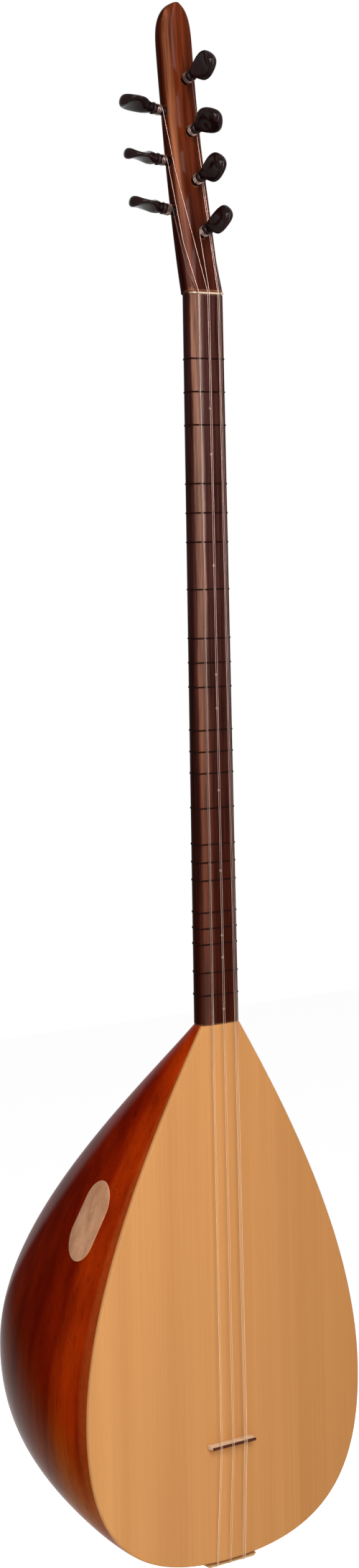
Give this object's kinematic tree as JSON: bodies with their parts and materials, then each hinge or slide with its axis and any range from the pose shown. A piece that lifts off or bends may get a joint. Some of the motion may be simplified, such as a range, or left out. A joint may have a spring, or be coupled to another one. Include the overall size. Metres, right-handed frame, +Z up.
{
  "type": "divan saz",
  "caption": "Long-necked plucked lute with a carved pear-shaped bowl, flat soundboard, tied frets, friction pegs in the head and metal strings over a low bridge.",
  "frame": {"origin": "on the neck's playing face, on the centre line, at the nut's lower edge", "axes": "+Z up the neck to the head, -Y the way the soundboard faces, +X to the viewer's right"},
  "size_m": [0.31, 0.3192, 1.409],
  "materials": {
    "mahogany": "clear gloss lacquer",
    "spruce": "satin varnish",
    "neck_wood": "clear gloss lacquer",
    "head_wood": "clear gloss lacquer",
    "maple": "oiled",
    "dark_wood": "polished",
    "plate_wood": "matte",
    "bone": "polished bone",
    "pearl": "polished pearl",
    "nylon": "tied nylon line",
    "steel": "plain drawn wire",
    "bronze": "wound wire"
  },
  "bodies": {
    "saz": {"bowl": "mahogany", "soundboard": "spruce", "upper_brace": "spruce", "lower_brace": "spruce", "neck": "neck_wood", "head": "head_wood", "nut": "bone", "bridge": "maple", "bridge_cap": "dark_wood", "string_holder": "spruce", "maker_plate": "plate_wood", "position_dot_01": "pearl", "position_dot_02": "pearl", "position_dot_03": "pearl", "position_dot_04": "pearl", "position_dot_05": "pearl", "position_dot_06": "pearl", "position_dot_07": "pearl", "position_dot_08": "pearl", "position_dot_09": "pearl", "position_dot_10": "pearl", "string_1": "bronze", "string_2": "steel", "string_3": "steel", "string_4": "steel", "string_5": "steel", "string_6": "steel", "string_7": "bronze"},
    "fret_01_body": {"fret_01": "nylon"},
    "fret_02_body": {"fret_02": "nylon"},
    "fret_03_body": {"fret_03": "nylon"},
    "fret_04_body": {"fret_04": "nylon"},
    "fret_05_body": {"fret_05": "nylon"},
    "fret_06_body": {"fret_06": "nylon"},
    "fret_07_body": {"fret_07": "nylon"},
    "fret_08_body": {"fret_08": "nylon"},
    "fret_09_body": {"fret_09": "nylon"},
    "fret_10_body": {"fret_10": "nylon"},
    "fret_11_body": {"fret_11": "nylon"},
    "fret_12_body": {"fret_12": "nylon"},
    "fret_13_body": {"fret_13": "nylon"},
    "fret_14_body": {"fret_14": "nylon"},
    "fret_15_body": {"fret_15": "nylon"},
    "fret_16_body": {"fret_16": "nylon"},
    "fret_17_body": {"fret_17": "nylon"},
    "fret_18_body": {"fret_18": "nylon"},
    "fret_19_body": {"fret_19": "nylon"},
    "fret_20_body": {"fret_20": "nylon"},
    "fret_21_body": {"fret_21": "nylon"},
    "fret_22_body": {"fret_22": "nylon"},
    "front_peg_1_body": {"front_peg_1": "dark_wood"},
    "front_peg_2_body": {"front_peg_2": "dark_wood"},
    "front_peg_3_body": {"front_peg_3": "dark_wood"},
    "front_peg_4_body": {"front_peg_4": "dark_wood"},
    "side_peg_1_body": {"side_peg_1": "dark_wood"},
    "side_peg_2_body": {"side_peg_2": "dark_wood"},
    "side_peg_3_body": {"side_peg_3": "dark_wood"}
  },
  "joints": [
    {"name": "fret_01_slide", "type": "slide", "parent": "saz", "child": "fret_01_body", "axis": [0, 0, 1], "range_m": [-0.005, 0.005]},
    {"name": "fret_02_slide", "type": "slide", "parent": "saz", "child": "fret_02_body", "axis": [0, 0, 1], "range_m": [-0.005, 0.005]},
    {"name": "fret_03_slide", "type": "slide", "parent": "saz", "child": "fret_03_body", "axis": [0, 0, 1], "range_m": [-0.005, 0.005]},
    {"name": "fret_04_slide", "type": "slide", "parent": "saz", "child": "fret_04_body", "axis": [0, 0, 1], "range_m": [-0.005, 0.005]},
    {"name": "fret_05_slide", "type": "slide", "parent": "saz", "child": "fret_05_body", "axis": [0, 0, 1], "range_m": [-0.005, 0.005]},
    {"name": "fret_06_slide", "type": "slide", "parent": "saz", "child": "fret_06_body", "axis": [0, 0, 1], "range_m": [-0.005, 0.005]},
    {"name": "fret_07_slide", "type": "slide", "parent": "saz", "child": "fret_07_body", "axis": [0, 0, 1], "range_m": [-0.005, 0.005]},
    {"name": "fret_08_slide", "type": "slide", "parent": "saz", "child": "fret_08_body", "axis": [0, 0, 1], "range_m": [-0.005, 0.005]},
    {"name": "fret_09_slide", "type": "slide", "parent": "saz", "child": "fret_09_body", "axis": [0, 0, 1], "range_m": [-0.005, 0.005]},
    {"name": "fret_10_slide", "type": "slide", "parent": "saz", "child": "fret_10_body", "axis": [0, 0, 1], "range_m": [-0.005, 0.005]},
    {"name": "fret_11_slide", "type": "slide", "parent": "saz", "child": "fret_11_body", "axis": [0, 0, 1], "range_m": [-0.005, 0.005]},
    {"name": "fret_12_slide", "type": "slide", "parent": "saz", "child": "fret_12_body", "axis": [0, 0, 1], "range_m": [-0.005, 0.005]},
    {"name": "fret_13_slide", "type": "slide", "parent": "saz", "child": "fret_13_body", "axis": [0, 0, 1], "range_m": [-0.005, 0.005]},
    {"name": "fret_14_slide", "type": "slide", "parent": "saz", "child": "fret_14_body", "axis": [0, 0, 1], "range_m": [-0.005, 0.005]},
    {"name": "fret_15_slide", "type": "slide", "parent": "saz", "child": "fret_15_body", "axis": [0, 0, 1], "range_m": [-0.005, 0.005]},
    {"name": "fret_16_slide", "type": "slide", "parent": "saz", "child": "fret_16_body", "axis": [0, 0, 1], "range_m": [-0.005, 0.005]},
    {"name": "fret_17_slide", "type": "slide", "parent": "saz", "child": "fret_17_body", "axis": [0, 0, 1], "range_m": [-0.005, 0.005]},
    {"name": "fret_18_slide", "type": "slide", "parent": "saz", "child": "fret_18_body", "axis": [0, 0, 1], "range_m": [-0.005, 0.005]},
    {"name": "fret_19_slide", "type": "slide", "parent": "saz", "child": "fret_19_body", "axis": [0, 0, 1], "range_m": [-0.005, 0.005]},
    {"name": "fret_20_slide", "type": "slide", "parent": "saz", "child": "fret_20_body", "axis": [0, 0, 1], "range_m": [-0.005, 0.005]},
    {"name": "fret_21_slide", "type": "slide", "parent": "saz", "child": "fret_21_body", "axis": [0, 0, 1], "range_m": [-0.005, 0.005]},
    {"name": "fret_22_slide", "type": "slide", "parent": "saz", "child": "fret_22_body", "axis": [0, 0, 1], "range_m": [-0.005, 0.005]},
    {"name": "front_peg_1_turn", "type": "hinge", "parent": "saz", "child": "front_peg_1_body", "pos_m": [0.003, 0.01076, 0.05189], "axis": [0, -0.952, 0.3062], "continuous": true},
    {"name": "front_peg_2_turn", "type": "hinge", "parent": "saz", "child": "front_peg_2_body", "pos_m": [0.003, 0.01896, 0.09817], "axis": [0, -0.96, 0.28], "continuous": true},
    {"name": "front_peg_3_turn", "type": "hinge", "parent": "saz", "child": "front_peg_3_body", "pos_m": [0.003, 0.02543, 0.14129], "axis": [0, -0.9789, 0.2046], "continuous": true},
    {"name": "front_peg_4_turn", "type": "hinge", "parent": "saz", "child": "front_peg_4_body", "pos_m": [0.003, 0.03105, 0.18684], "axis": [0, -0.9599, 0.2802], "continuous": true},
    {"name": "side_peg_1_turn", "type": "hinge", "parent": "saz", "child": "side_peg_1_body", "pos_m": [-0.01715, 0.02353, 0.07146], "axis": [-0.9903, 0.0244, 0.137], "continuous": true},
    {"name": "side_peg_2_turn", "type": "hinge", "parent": "saz", "child": "side_peg_2_body", "pos_m": [-0.01662, 0.03073, 0.11509], "axis": [-0.9954, 0.0144, 0.0948], "continuous": true},
    {"name": "side_peg_3_turn", "type": "hinge", "parent": "saz", "child": "side_peg_3_body", "pos_m": [-0.01609, 0.03682, 0.1589], "axis": [-0.9877, 0.0195, 0.1552], "continuous": true}
  ]
}
